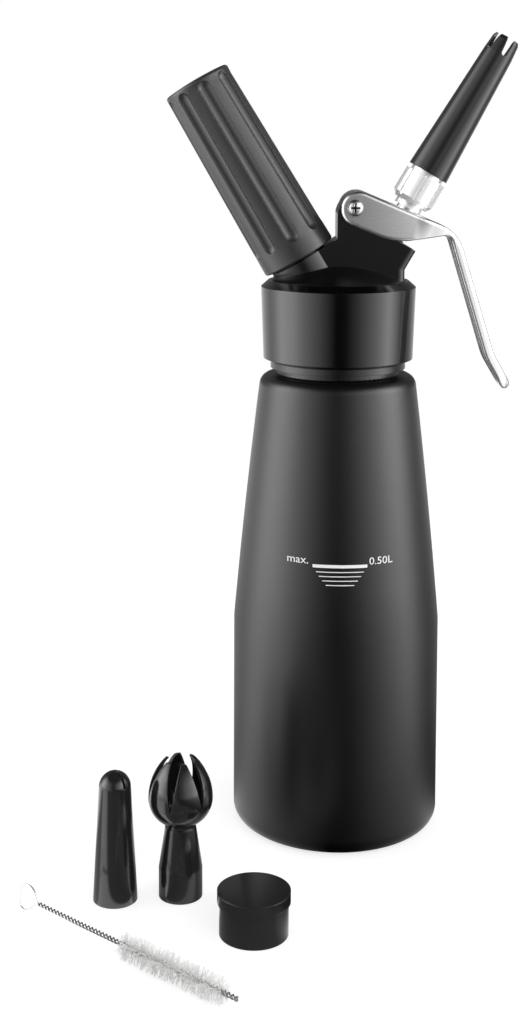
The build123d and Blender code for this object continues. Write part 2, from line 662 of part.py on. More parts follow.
def tulip_tip():
    """Spare tip with a bulb that is slit into petals."""
    def form(inset, low):
        waist = (TULIP_WAIST_R - inset, TULIP_WAIST_Z)
        belly = (TULIP_BULB_R - inset, TULIP_BULB_Z)
        top = (TULIP_TOP_R - inset, TULIP_H)
        return revolve(face_of(
            Polyline((0, low), (waist[0], low), waist),
            TangentArc(belly, waist, tangent=(0, -1)),
            TangentArc(belly, top, tangent=(0, 1)),
            Polyline(top, (0, TULIP_H), (0, low)),
        ), Axis.Z)

    stalk = turned(
        (0, 0), (TULIP_R, 0), (TULIP_R, TULIP_FOOT_H), (TULIP_STALK_R, TULIP_STALK_Z), (0, TULIP_STALK_Z),
    )
    tip = stalk + form(0, TULIP_STALK_Z / 2) - form(TULIP_WALL, SOCKET_DEPTH / 2)
    tip -= rod(SOCKET_R, -OVERCUT, SOCKET_DEPTH)
    half = PETAL_CUT_W / 2
    past = TULIP_H + OVERCUT
    middle = (PETAL_CUT_BOW * half, (PETAL_CUT_Z + TULIP_H) / 2)
    edge = ThreePointArc((0, PETAL_CUT_Z), middle, (half, past))
    gap = make_face(Curve() + [edge, mirror(edge, Plane.YZ), Line((half, past), (-half, past))])
    cutter = extrude(Plane.YZ * gap, amount=2 * TULIP_BULB_R)
    return Pos(*TULIP_AT) * (tip - around(PETALS, PETAL_TURN, cutter))


def straight_tip():
    """Spare tip with a domed end that is slit crosswise."""
    top = STRAIGHT_H - STRAIGHT_TOP_R
    body = face_of(
        Polyline((0, STRAIGHT_H), (0, 0), (STRAIGHT_R, 0), (STRAIGHT_TOP_R, top)),
        RadiusArc((STRAIGHT_TOP_R, top), (0, STRAIGHT_H), -STRAIGHT_TOP_R),
    )
    tip = revolve(body, Axis.Z) - rod(SOCKET_R, -OVERCUT, SOCKET_DEPTH)
    tip -= rod(TIP_BORE_R, 0, top) + Pos(0, 0, top) * Sphere(TIP_BORE_R)
    slit = Pos(STRAIGHT_R, 0, STRAIGHT_H) * Box(2 * STRAIGHT_R, SLIT_W, 2 * SLIT_DEPTH)
    return Pos(*STRAIGHT_AT) * (tip - around(STRAIGHT_SLITS, SLIT_TURN, slit))


# ---------------------------------------------------------------- inlet, holder and charger
def inlet_stud():
    """Threaded inlet that the holder screws on, with the pocket of the charger's neck."""
    shoulder = HOLDER_FACE - HOLDER_GAP
    top = shoulder + INLET_LENGTH
    root = shoulder - INLET_ROOT
    stud = rod(INLET_ROOT_R, root, shoulder) + rod(INLET_R, shoulder, top)
    stud -= rod(NECK_POCKET_R, top - NECK_POCKET, top + OVERCUT)
    return HOLDER * (stud - rod(PIERCER_R + STEM_PLAY, root - OVERCUT, top))


def piercing_pin():
    """Hollow pin that opens the charger."""
    shoulder = CHARGER_SEAT + PIERCER_REACH
    low = shoulder - PIERCER_STEM
    point = shoulder + PIERCER_POINT
    return HOLDER * turned(
        (PIERCER_BORE_R, low), (PIERCER_R, low), (PIERCER_R, shoulder), (PIERCER_BORE_R, point),
    )


def inlet_seal():
    """Rubber ring that the charger's neck presses on."""
    return HOLDER * ring(NECK_POCKET_R - STEM_PLAY, PIERCED_R, CHARGER_SEAT - INLET_SEAL_T, CHARGER_SEAT)


def check_valve():
    """Rubber cup under the inlet that lets gas in and keeps it in."""
    high = HOLDER_FACE - HOLDER_GAP - INLET_ROOT
    return HOLDER * ring(CHECK_R, PIERCER_BORE_R, high - CHECK_T + PIERCER_BORE_R, high)


def holder_grip():
    """Fluted charger holder, closed at the top, with a cavity for the charger."""
    low = HOLDER_FACE
    high = low + HOLDER_LENGTH
    crown_r = (HOLDER_TOP_R**2 + HOLDER_DOME**2) / (2 * HOLDER_DOME)
    body = face_of(
        Polyline((0, high), (0, low), (HOLDER_R, low), (HOLDER_TOP_R, high - HOLDER_DOME)),
        RadiusArc((HOLDER_TOP_R, high - HOLDER_DOME), (0, high), -crown_r),
    )
    grip = revolve(body, Axis.Z)
    grip = fillet(rims_at(grip, high - HOLDER_DOME), HOLDER_TOP_EDGE_R)
    grip = fillet(rims_at(grip, low), HOLDER_FLOOR_EDGE_R)
    lean = atan2(HOLDER_R - HOLDER_TOP_R, HOLDER_LENGTH)
    flute_low = FLUTE_START + FLUTE_R
    flute_run = HOLDER_LENGTH - FLUTE_END - FLUTE_R - flute_low
    flute = rod(FLUTE_R, 0, flute_run) + Sphere(FLUTE_R) + Pos(0, 0, flute_run) * Sphere(FLUTE_R)
    flute_x = HOLDER_R - flute_low * sin(lean) - FLUTE_DEPTH + FLUTE_R
    grip -= around(FLUTES, FLUTE_TURN, Pos(flute_x, 0, low + flute_low) * Rot(0, -degrees(lean), 0) * flute)
    cavity = CHARGER_SEAT + CHARGER_LENGTH + CHARGER_PLAY
    insert_top = low + INSERT_RECESS + INSERT_LENGTH
    grip -= rod(CHARGER_R + CHARGER_PLAY, low, cavity - CHARGER_R)
    grip -= Pos(0, 0, cavity - CHARGER_R - CHARGER_PLAY) * Sphere(CHARGER_R + CHARGER_PLAY)
    return HOLDER * (grip - rod(INSERT_R + STEM_PLAY, low - OVERCUT, insert_top))


def holder_insert():
    """Threaded metal bush in the holder's mouth."""
    low = HOLDER_FACE + INSERT_RECESS
    return HOLDER * ring(INSERT_R, INLET_R + INLET_PLAY, low, low + INSERT_LENGTH)


def gas_charger():
    """Steel cylinder of gas with a pierced neck."""
    def form(inset):
        side_r = CHARGER_R - inset
        neck_r = CHARGER_NECK_R - inset
        low = CHARGER_SEAT + inset
        high = CHARGER_SEAT + CHARGER_LENGTH - inset
        neck = CHARGER_SEAT + CHARGER_NECK_H
        wall = neck + CHARGER_SHOULDER_H
        return revolve(face_of(
            Polyline((0, high), (0, low), (neck_r, low), (neck_r, neck)),
            Spline((neck_r, neck), (side_r, wall), tangents=[(0, 1), (0, 1)]),
            Line((side_r, wall), (side_r, high - side_r)),
            RadiusArc((side_r, high - side_r), (0, high), -side_r),
        ), Axis.Z)

    shell = form(0) - form(CHARGER_WALL)
    return HOLDER * (shell - rod(PIERCED_R, CHARGER_SEAT - OVERCUT, CHARGER_SEAT + 2 * CHARGER_WALL))


# ---------------------------------------------------------------- cap and brush
def inlet_cap():
    """Protective cap of the inlet thread, with a lip round its top."""
    crown_r = (CAP_LIP_R**2 + CAP_CROWN**2) / (2 * CAP_CROWN)
    rim = CAP_H - CAP_CROWN
    lip = rim - CAP_LIP_H
    body = face_of(
        Polyline((0, CAP_H), (0, 0), (CAP_R, 0), (CAP_R, lip), (CAP_LIP_R, lip), (CAP_LIP_R, rim)),
        RadiusArc((CAP_LIP_R, rim), (0, CAP_H), -crown_r),
    )
    return Pos(*CAP_AT) * (revolve(body, Axis.Z) - rod(INLET_R + INLET_PLAY, -OVERCUT, CAP_DEPTH))


def brush_wire():
    """Wire handle of the brush, ending in a loop."""
    stem = Rot(0, 90, 0) * rod(BRUSH_TWIST_R, 0, BRUSH_LENGTH)
    loop = Pos(-LOOP_R - BRUSH_WIRE_R / 2, 0, 0) * Rot(90, 0, 0) * wire_ring(LOOP_R, BRUSH_WIRE_R)
    return Pos(*BRUSH_AT, BRISTLE_R) * Rot(0, 0, BRUSH_TURN) * (stem + loop)


def brush_bristles():
    """Round bundle of bristles, tapered at both ends."""
    bore = BRUSH_TWIST_R + STEM_PLAY
    slim = BRISTLE_R - BRISTLE_TAPER / 2
    bundle = turned(
        (bore, BRISTLES_FROM), (slim, BRISTLES_FROM), (BRISTLE_R, BRISTLES_FROM + BRISTLE_TAPER),
        (BRISTLE_R, BRISTLES_TO - BRISTLE_TAPER), (slim, BRISTLES_TO), (bore, BRISTLES_TO),
    )
    return Pos(*BRUSH_AT, BRISTLE_R) * Rot(0, 0, BRUSH_TURN) * Rot(0, 90, 0) * bundle


PIECES = (
    bottle, head_body, collar_sleeve, head_gasket, lever, pivot_screw, pivot_nut,
    valve_guide, stem_seal_ring, valve_stem, valve_seal, thrust_washer, valve_spring,
    nozzle_adapter, star_tip, inlet_stud, piercing_pin, inlet_seal, check_valve,
    holder_grip, holder_insert, gas_charger, tulip_tip, straight_tip, inlet_cap,
    brush_wire, brush_bristles,
)

os.makedirs("parts", exist_ok=True)
for piece in PIECES:
    export_step(piece(), f"parts/{piece.__name__}.step")
print(f"valve travel {VALVE_TRAVEL:.2f} mm, per radian {VALVE_TRAVEL / radians(SQUEEZE):.2f} mm")
print(f"charger seat {CHARGER_SEAT:.2f}, washer top {WASHER_TOP:.2f}, tip seat {TIP_SEAT:.2f}")
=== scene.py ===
# %% [markdown]
# # A whipped cream dispenser, dressed for the studio
# The dispenser is a half-litre bottle with a screwed head. A lever on the head opens a
# valve, a fluted holder brings the gas charger, and a decorating tip shapes the cream. Two
# spare tips, the inlet's cap and a cleaning brush stand beside it.
#
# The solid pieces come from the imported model, at their real size and place. This lesson adds
# what a solid model leaves out: finishes, print, screw threads, twisted wire and bristles.
# +Z is up, the lever is on +X and the filling mark faces -Y. The scene is in metres. The
# pieces' sizes are written in millimetres and multiplied by MM. The depth of a grain and the
# sizes of the studio are written in metres.

# %% Load the fixed frame
import math
import random
import bpy
from mathutils import Matrix, Vector


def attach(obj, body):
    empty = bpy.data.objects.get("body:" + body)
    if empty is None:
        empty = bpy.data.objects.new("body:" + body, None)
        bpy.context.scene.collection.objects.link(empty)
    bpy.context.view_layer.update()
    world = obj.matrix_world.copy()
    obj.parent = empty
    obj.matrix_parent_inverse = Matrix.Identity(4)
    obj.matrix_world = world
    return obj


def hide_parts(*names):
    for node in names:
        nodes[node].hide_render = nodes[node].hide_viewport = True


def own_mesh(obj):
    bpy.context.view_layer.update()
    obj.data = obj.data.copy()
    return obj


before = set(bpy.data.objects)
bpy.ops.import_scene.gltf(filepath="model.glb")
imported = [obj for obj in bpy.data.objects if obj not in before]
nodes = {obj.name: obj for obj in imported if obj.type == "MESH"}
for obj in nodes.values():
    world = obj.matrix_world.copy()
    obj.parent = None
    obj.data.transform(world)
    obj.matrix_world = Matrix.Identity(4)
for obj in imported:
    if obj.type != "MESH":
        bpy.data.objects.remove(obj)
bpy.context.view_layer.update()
MM = 0.001

# %% [markdown]
# ## Camera
# The camera stands at the height of the head and is tipped a little down, so that the
# bottle's sides stay nearly upright and its round edges open into thin ellipses. A shift of
# the lens does the rest of the framing.

# %% Camera
CAMERA_AT = Vector((-28.6, -598.4, 270.3)) * MM
CAMERA_LENS = 54.65
CAMERA_SENSOR = 36.0
CAMERA_TILT = math.radians(85.0)
CAMERA_ROLL = math.radians(0.23)
CAMERA_SHIFT = -0.2395
CAMERA_NEAREST = 0.01

camera_data = bpy.data.cameras.new("studio_camera")
camera = bpy.data.objects.new("studio_camera", camera_data)
bpy.context.scene.collection.objects.link(camera)
camera_data.lens = CAMERA_LENS
camera_data.sensor_width = CAMERA_SENSOR
camera_data.shift_y = CAMERA_SHIFT
camera_data.clip_start = CAMERA_NEAREST
camera_turn = Matrix.Rotation(CAMERA_TILT, 4, "X") @ Matrix.Rotation(CAMERA_ROLL, 4, "Z")
camera.matrix_world = Matrix.Translation(CAMERA_AT) @ camera_turn
bpy.context.scene.camera = camera
print("camera", tuple(round(v, 3) for v in camera.location))

# %% [markdown]
# ## Helpers for shapes
# An operator works on everything that is selected, so each piece starts from nothing
# selected. Threads, wires and the spring are all a small profile that turns round an axis
# and climbs as it goes, which is what the Screw modifier does, so one helper makes them.

# %% Helpers for shapes
FACING_FRONT = (math.pi / 2, 0.0, 0.0)
FACING_SIDE = (0.0, math.pi / 2, 0.0)


def pick_nothing():
    """Leave edit mode and deselect all, so that the next operator touches one piece only."""
    if bpy.context.object and bpy.context.object.mode != "OBJECT":
        bpy.ops.object.mode_set(mode="OBJECT")
    bpy.ops.object.select_all(action="DESELECT")


def pick(*objects):
    """Select these objects and make the first one active."""
    pick_nothing()
    for item in objects:
        item.select_set(True)
    bpy.context.view_layer.objects.active = objects[0]


def edit(piece):
    """Enter edit mode with all of a piece's mesh selected."""
    pick(piece)
    bpy.ops.object.mode_set(mode="EDIT")
    bpy.ops.mesh.select_all(action="SELECT")


def close_smooth(degrees):
    """Turn the edited mesh's faces outwards, leave edit mode, and smooth flatter edges."""
    bpy.ops.mesh.normals_make_consistent(inside=False)
    bpy.ops.object.mode_set(mode="OBJECT")
    bpy.ops.object.shade_smooth_by_angle(angle=math.radians(degrees))


def apply_place(piece):
    """Put a piece's place, turn and size into its mesh, and leave its object at the origin."""
    pick(piece)
    bpy.ops.object.transform_apply(location=True, rotation=True, scale=True)


def apply_modifiers(piece):
    """Apply every modifier of a piece, in their order."""
    pick(piece)
    for modifier in list(piece.modifiers):
        bpy.ops.object.modifier_apply(modifier=modifier.name)


def swept(profile, axis, angle, climb, turns, steps, sides, degrees):
    """Sweep a profile of so many sides round an axis as it climbs, then close and smooth it."""
    screw = profile.modifiers.new("sweep", "SCREW")
    screw.axis = axis
    screw.angle = angle
    screw.screw_offset = climb
    screw.iterations = turns
    screw.steps = steps
    screw.render_steps = steps
    apply_modifiers(profile)
    edit(profile)
    bpy.ops.mesh.fill_holes(sides=sides)
    close_smooth(degrees)
    return profile


def joined(pieces, name):
    """One object from several, under one name."""
    pick(*pieces)
    bpy.ops.object.join()
    piece = bpy.context.object
    piece.name = name
    piece.data.name = name
    return piece


def along_axis(crossing, tilt):
    """The frame of an axis that leaves the bottle's axis at a height and leans by a tilt."""
    return Matrix.Translation((0.0, 0.0, crossing * MM)) @ Matrix.Rotation(tilt, 4, "Y")


def finished(piece, material, body):
    """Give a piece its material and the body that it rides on."""
    piece.data.materials.clear()
    piece.data.materials.append(material)
    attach(piece, body)


print("shape helpers ready")

# %% [markdown]
# ## Helpers for materials
# A material is a small tree of nodes. These helpers add one node each and join it to what it
# works on, so that a finish reads as a list of steps: where on the piece, which pattern, and
# what the pattern changes.


# %% Helpers for materials
def grey(shade):
    """A colour without hue."""
    return (shade, shade, shade)


def add_node(tree, kind, inputs=None, **settings):
    """A node with its settings and input values."""
    made = tree.nodes.new(kind)
    for key, value in settings.items():
        setattr(made, key, value)
    for key, value in (inputs or {}).items():
        made.inputs[key].default_value = value
    return made


def feed(tree, socket, value):
    """Join another node's output to a socket, or set the socket to a constant."""
    if isinstance(value, bpy.types.NodeSocket):
        tree.links.new(value, socket)
    else:
        socket.default_value = value


def calculated(tree, operation, *values):
    """The result of a Math node. The values are constants or other nodes' outputs."""
    made = add_node(tree, "ShaderNodeMath", operation=operation)
    for socket, value in zip(made.inputs, values):
        feed(tree, socket, value)
    return made.outputs["Value"]


def vector_step(tree, operation, result, *values):
    """The Vector or the Value that a Vector Math node makes."""
    made = add_node(tree, "ShaderNodeVectorMath", operation=operation)
    for socket, value in zip(made.inputs, values):
        feed(tree, socket, value)
    return made.outputs[result]


def separated(tree, vector):
    """The X, Y and Z of a vector."""
    axes = add_node(tree, "ShaderNodeSeparateXYZ")
    tree.links.new(vector, axes.inputs["Vector"])
    return axes.outputs


def mapped(tree, value, start, end, low=0.0, high=1.0, **settings):
    """A value that runs from low to high as another runs from start to end."""
    made = add_node(
        tree, "ShaderNodeMapRange",
        {"From Min": start, "From Max": end, "To Min": low, "To Max": high}, **settings,
    )
    tree.links.new(value, made.inputs["Value"])
    return made.outputs["Result"]


def mixed(tree, kind, factor, first, second):
    """A FLOAT or RGBA that runs from first to second as the factor runs from 0 to 1."""
    made = add_node(tree, "ShaderNodeMix", data_type=kind)
    for socket, value in zip((s for s in made.inputs if s.enabled), (factor, first, second)):
        feed(tree, socket, value)
    return next(s for s in made.outputs if s.enabled)


def place_on(tree, scale=(1.0, 1.0, 1.0), turn=(0.0, 0.0, 0.0)):
    """Object coordinates in metres, turned and stretched by a Mapping node."""
    where = add_node(tree, "ShaderNodeTexCoord")
    mapping = add_node(tree, "ShaderNodeMapping", {"Scale": scale, "Rotation": turn})
    tree.links.new(where.outputs["Object"], mapping.inputs["Vector"])
    return mapping.outputs["Vector"]


def noise(tree, where, scale, detail=2.0, roughness=0.5):
    """A noise pattern read at a place."""
    made = add_node(
        tree, "ShaderNodeTexNoise", {"Scale": scale, "Detail": detail, "Roughness": roughness}
    )
    tree.links.new(where, made.inputs["Vector"])
    return made.outputs["Fac"]


def shader_of(name, colour, roughness, metallic=0.0):
    """A new material, its tree and its Principled shader, with the constant values set."""
    material = bpy.data.materials.new(name)
    material.use_nodes = True
    tree = material.node_tree
    shader = tree.nodes["Principled BSDF"]
    shader.inputs["Base Color"].default_value = (*colour, 1.0)
    shader.inputs["Roughness"].default_value = roughness
    shader.inputs["Metallic"].default_value = metallic
    return material, tree, shader


def coloured(tree, shader, value, dark, light):
    """Let the colour run from dark to light as a value runs from 0 to 1."""
    colour = mixed(tree, "RGBA", value, (*dark, 1.0), (*light, 1.0))
    tree.links.new(colour, shader.inputs["Base Color"])


def roughened(tree, shader, value, low, high):
    """Let the roughness run from low to high as a value runs from 0 to 1."""
    tree.links.new(mapped(tree, value, 0.0, 1.0, low, high), shader.inputs["Roughness"])


def emboss(tree, shader, height, depth, strength=1.0):
    """Add a bump from a height pattern to a shader, as deep as depth in metres."""
    bump = add_node(tree, "ShaderNodeBump", {"Strength": strength, "Distance": depth})
    tree.links.new(height, bump.inputs["Height"])
    for link in shader.inputs["Normal"].links:
        tree.links.new(link.from_socket, bump.inputs["Normal"])
    tree.links.new(bump.outputs["Normal"], shader.inputs["Normal"])
    return bump


def rounded(tree, shader, radius):
    """Shade sharp edges as if they were rounded by a radius in millimetres."""
    edge = add_node(tree, "ShaderNodeBevel", {"Radius": radius * MM}, samples=4)
    tree.links.new(edge.outputs["Normal"], shader.inputs["Normal"])


def dress(material, *names):
    """Give solid pieces of the frame one material."""
    for name in names:
        piece = nodes[name]
        piece.data.materials.clear()
        piece.data.materials.append(material)


print("material helpers ready")

# %% [markdown]
# ## The bottle's coating
# The bottle is drawn aluminium with a satin black coating. Black paint has next to no colour
# of its own, and what shows is the thin reflection that every varnish has, spread wide by its
# roughness. So the colour is nearly black, the roughness changes slowly over the surface, and
# a shallow bump gives the faint unevenness of a sprayed coat. Where the straight wall turns
# into the taper, another bump lets the surface normal turn over 40 mm instead of at once.

# %% Bottle coating
TAPER_FROM = 81.0
TAPER_BLEND = 20.0
TAPER_SLOPE = math.radians(5.0)


def taper_turn(tree, shader):
    """Shade the kink at the taper's foot as a turn that spreads over both sides of it."""
    height = separated(tree, place_on(tree))["Z"]
    away = calculated(tree, "ABSOLUTE", calculated(tree, "SUBTRACT", height, TAPER_FROM * MM))
    fall = mapped(tree, away, 0.0, TAPER_BLEND * MM, 1.0, 0.0)
    turn = calculated(tree, "POWER", fall, 2.0)
    emboss(tree, shader, turn, -math.tan(TAPER_SLOPE) * TAPER_BLEND / 4 * MM)


def satin_coating():
    """Nearly black paint, a little uneven in shade and gloss, with a sprayed surface."""
    material, tree, shader = shader_of("bottle_coating", grey(0.003), 0.34)
    where = place_on(tree)
    roughened(tree, shader, noise(tree, where, 60.0, detail=3.0), 0.32, 0.38)
    coloured(tree, shader, noise(tree, where, 25.0), grey(0.0018), (0.0032, 0.0032, 0.0033))
    taper_turn(tree, shader)
    emboss(tree, shader, noise(tree, where, 2600.0, 3.0, 0.6), 0.00002, strength=0.5)
    return material


bottle_coating = satin_coating()
dress(bottle_coating, "bottle")
print("coated: bottle")

# %% [markdown]
# ## Moulded plastics
# The head is a matt black moulding, the collar and the tips are gloss black, and the holder
# is a dark grey with a fine spark-eroded grain. They differ in shade, roughness, the size and
# depth of their grain and the radius of their edges, so one function makes them all.


# %% Moulded plastics
def moulding(name, dark, light, rough, grain_scale, grain_depth, edge=0.3):
    """A moulded plastic: soft edges, an uneven colour and gloss, and a grain."""
    material, tree, shader = shader_of(name, grey(light), rough[1])
    rounded(tree, shader, edge)
    where = place_on(tree)
    coloured(tree, shader, noise(tree, where, 90.0, detail=4.0), grey(dark), grey(light))
    roughened(tree, shader, noise(tree, where, 350.0, detail=3.0), *rough)
    emboss(tree, shader, noise(tree, where, grain_scale, 4.0, 0.65), grain_depth)
    return material


head_moulding = moulding("head_moulding", 0.0015, 0.003, (0.26, 0.33), 2500.0, 0.00001)
collar_gloss = moulding("collar_gloss", 0.001, 0.002, (0.15, 0.19), 900.0, 0.000002)
tip_gloss = moulding("tip_gloss", 0.011, 0.015, (0.10, 0.14), 1200.0, 0.000003, edge=0.5)
holder_moulding = moulding("holder_moulding", 0.020, 0.028, (0.30, 0.38), 3200.0, 0.000012)
rubber = moulding("rubber", 0.020, 0.032, (0.60, 0.75), 2000.0, 0.00002)
dress(head_moulding, "head_body")
dress(collar_gloss, "collar_sleeve")
dress(tip_gloss, "star_tip", "tulip_tip", "straight_tip", "inlet_cap")
dress(holder_moulding, "holder_grip")
dress(rubber, "head_gasket", "stem_seal_ring", "valve_seal", "inlet_seal", "check_valve")
print("moulded: head, collar, tips, cap, holder and rubbers")

# %% [markdown]
# ## Metals
# The lever is pressed steel, polished along its length. Fine scratches run along it, so its
# pattern is a noise stretched that way. Turned pieces carry faint rings about their own axis,
# made the same way with the pattern squeezed along that axis. The adapter is chrome with a
# painted reflection: half of its colour is a diffuse white.
# The lever's sides are shaded as if they were gently dished, and the inlet's metal carries
# painted shade towards its root, where little light gets in between the head and the holder.

# %% Metals
NOZZLE_CROSSING = 195.5
NOZZLE_TILT = math.radians(30.0)
HOLDER_CROSSING = 196.2
HOLDER_TILT = math.radians(-30.7)
LEVER_SLOPE = math.radians(22.7)
DISH_FROM = 5.0
DISH_TO = 65.0
DISH_SLOPE = 0.27
NECKING_FROM = 29.0
NECKING_TO = 44.8
NECKING_DEPTH = 3.1
# Painted shade at the inlet's root: its colour, and the heights along the holder's axis where it
# fades out.
ROOT_SHADE = 0.015
ROOT_FROM = 29.6
ROOT_TO = 31.0


def dished(tree, shader):
    """Shade the lever's sides as if they bent evenly towards +X, and level their necking."""
    x = separated(tree, place_on(tree))["X"]
    grown = mapped(tree, x, DISH_FROM * MM, DISH_TO * MM)
    bow = calculated(tree, "MULTIPLY", grown, grown)
    dish = emboss(tree, shader, bow, -DISH_SLOPE * (DISH_TO - DISH_FROM) / 2 * MM)
    across = mapped(
        tree, x, NECKING_FROM * MM, NECKING_TO * MM, interpolation_type="SMOOTHSTEP"
    )
    level = emboss(tree, shader, across, NECKING_DEPTH * MM)
    facing = separated(tree, add_node(tree, "ShaderNodeNewGeometry").outputs["Normal"])
    sideways = calculated(tree, "ABSOLUTE", facing["Y"])
    for bump in (dish, level):
        tree.links.new(sideways, bump.inputs["Strength"])


def painted_root_shade(tree, shader):
    """Paint shade on the inlet's metal towards its root, between two heights along the holder's
    axis.
    """
    outwards = Vector((math.sin(HOLDER_TILT), 0.0, math.cos(HOLDER_TILT)))
    along = vector_step(tree, "DOT_PRODUCT", "Value", place_on(tree), outwards)
    foot = HOLDER_CROSSING * outwards.z
    # Painted shade: the colour runs from near black at the root to the metal's own colour.
    free = mapped(tree, along, (foot + ROOT_FROM) * MM, (foot + ROOT_TO) * MM)
    base = shader.inputs["Base Color"]
    bare = base.links[0].from_socket
    tree.links.new(mixed(tree, "RGBA", free, (*grey(ROOT_SHADE), 1.0), bare), base)


def metal(name, dark, light, rough, scale, turn, depth, metallic=1.0, shape=None):
    """A metal whose gloss and bump follow one stretched pattern, and its colour a cloud."""
    material, tree, shader = shader_of(name, light, rough[1], metallic)
    rounded(tree, shader, 0.25)
    if shape:
        shape(tree, shader)
    streaks = noise(tree, place_on(tree, scale, turn), 1.0, 4.0, 0.6)
    cloud = noise(tree, place_on(tree), 70.0, detail=3.0)
    coloured(tree, shader, cloud, dark, light)
    roughened(tree, shader, streaks, *rough)
    emboss(tree, shader, streaks, depth)
    return material


# How often a pattern changes in a metre: along the marks of a tool, and across them.
ALONG = 90.0
ACROSS = 4200.0
DRAWN = ACROSS / 4
SCRATCHES = (ALONG, ACROSS, ACROSS)
RINGS = (ALONG, ALONG, ACROSS)
SPECKS = (900.0, 900.0, 900.0)
UNTURNED = (0.0, 0.0, 0.0)
ON_LEVER = (0.0, LEVER_SLOPE, 0.0)
ON_NOZZLE = (0.0, -NOZZLE_TILT, 0.0)
ON_HOLDER = (0.0, -HOLDER_TILT, 0.0)
# Darkest and lightest colour, and the range of roughness.
TURNED = ((0.66, 0.65, 0.63), (0.76, 0.75, 0.73), (0.22, 0.34))
polished_steel = metal(
    "polished_steel", grey(0.68), grey(0.74), (0.25, 0.31), SCRATCHES, ON_LEVER, 0.0000005,
    metallic=0.94, shape=dished,
)
turned_steel = metal("turned_steel", *TURNED, RINGS, ON_NOZZLE, 0.000004)
inlet_steel = metal("inlet_steel", *TURNED, RINGS, ON_HOLDER, 0.000004)
inlet_tree = inlet_steel.node_tree
painted_root_shade(inlet_tree, inlet_tree.nodes["Principled BSDF"])
# Half metal and half diffuse white: a painted reflection of white surroundings on top of the
# chrome's own gloss.
bright_chrome = metal(
    "bright_chrome", (0.88, 0.88, 0.89), (0.94, 0.94, 0.95), (0.18, 0.26), RINGS, ON_NOZZLE,
    0.000001, metallic=0.5,
)
# The holder's insert is coloured near black as painted shade, so that its joint with the head's
# boss reads as a dark gap.
painted_shade_bush = metal(
    "painted_shade_bush", (0.030, 0.030, 0.032), (0.050, 0.050, 0.052), (0.34, 0.48), RINGS, ON_HOLDER,
    0.000004,
)
charger_steel = metal(
    "charger_steel", (0.52, 0.53, 0.55), (0.62, 0.63, 0.65), (0.24, 0.36),
    (DRAWN, DRAWN, ALONG), ON_HOLDER, 0.000004,
)
dress(polished_steel, "lever", "pivot_nut", "thrust_washer")
dress(turned_steel, "valve_guide", "valve_stem", "valve_spring")
dress(inlet_steel, "inlet_stud", "piercing_pin")
dress(painted_shade_bush, "holder_insert")
dress(bright_chrome, "nozzle_adapter")
dress(charger_steel, "gas_charger")
print("metals: lever, valve, adapter, inlet and charger")

# %% [markdown]
# ## The pivot screw
# Its head is small and bright, and two things make it readable: the surface turns away
# towards the rim as a dome does, and the cross recess is painted dark as its shadow.

# %% Pivot screw
PIVOT_X = 5.7
PIVOT_Z = 241.4
SCREW_HEAD_R = 3.15
SCREW_FACE_Y = -13.2
RECESS_DEPTH = 0.9
HEAD_BACK_Y = -11.6
HEAD_BACK_BLEND = 0.3
DOME_HEIGHT = 0.9


def domed_steel():
    """Bright steel with a domed head round the pivot's axis, and painted shadow in that head's
    recess.
    """
    material, tree, shader = shader_of("screw_steel", grey(0.78), 0.18, 1.0)
    rounded(tree, shader, 0.25)
    where = place_on(tree)
    pivot = Vector((PIVOT_X, 0.0, PIVOT_Z)) * MM
    from_pivot = vector_step(tree, "SUBTRACT", "Vector", where, pivot)
    flat = vector_step(tree, "MULTIPLY", "Vector", from_pivot, (1.0, 0.0, 1.0))
    radius = vector_step(tree, "LENGTH", "Value", flat)
    share = mapped(tree, radius, 0.0, SCREW_HEAD_R * MM)
    emboss(tree, shader, calculated(tree, "MULTIPLY", share, share), -DOME_HEIGHT * MM)
    # Painted shadow: the colour turns near black with depth behind the head's face, and fades out
    # at its back.
    y = separated(tree, where)["Y"]
    deep = mapped(tree, y, SCREW_FACE_Y * MM, (SCREW_FACE_Y + RECESS_DEPTH) * MM)
    in_head = mapped(
        tree, y, (HEAD_BACK_Y - HEAD_BACK_BLEND) * MM, HEAD_BACK_Y * MM, 1.0, 0.0
    )
    shadow = calculated(tree, "MULTIPLY", deep, in_head)
    coloured(tree, shader, shadow, grey(0.80), grey(0.06))
    roughened(tree, shader, noise(tree, where, 300.0, detail=3.0), 0.14, 0.26)
    return material


dress(domed_steel(), "pivot_screw")
print("pivot screw: domed head,", SCREW_HEAD_R * 2, "mm wide")

# %% [markdown]
# ## The filling mark
# A broad bar shows how far the bottle may be filled, with four thin lines below it that grow
# shorter, and the words beside it. It is print on a round wall. Drawn as a picture it would
# need an image, so it is drawn as flat faces in front of the wall instead. A Shrinkwrap
# modifier then lays them on the wall, and a Solidify modifier gives the ink its thickness.

# %% Filling mark
# The print is drawn flat at MARK_FRONT, in front of the wall. All Z are heights.
MARK_FRONT = -60.0
MARK_X = -0.3
MARK_CUTS = 15
MARK_GAP = 0.02
MARK_INK = 0.06
LETTER_STEPS = 4
BAR_WIDTH = 20.2
BAR_HEIGHT = 1.15
BAR_Z = 110.3
LINE_WIDTHS = (17.6, 15.6, 13.1, 10.5)
LINE_HEIGHT = 0.30
LINE_Z = 108.2
LINE_STEP = 1.6


def printed_bar(width, height, z):
    """A flat bar of print, divided along its length so that it can follow the round wall."""
    pick_nothing()
    bpy.ops.mesh.primitive_plane_add(size=1.0, rotation=FACING_FRONT)
    bar = bpy.context.object
    bar.scale = (width * MM, height * MM, 1.0)
    bar.location = Vector((MARK_X, MARK_FRONT, z)) * MM
    apply_place(bar)
    edit(bar)
    bpy.ops.mesh.subdivide(number_cuts=MARK_CUTS)
    bpy.ops.object.mode_set(mode="OBJECT")
    return bar


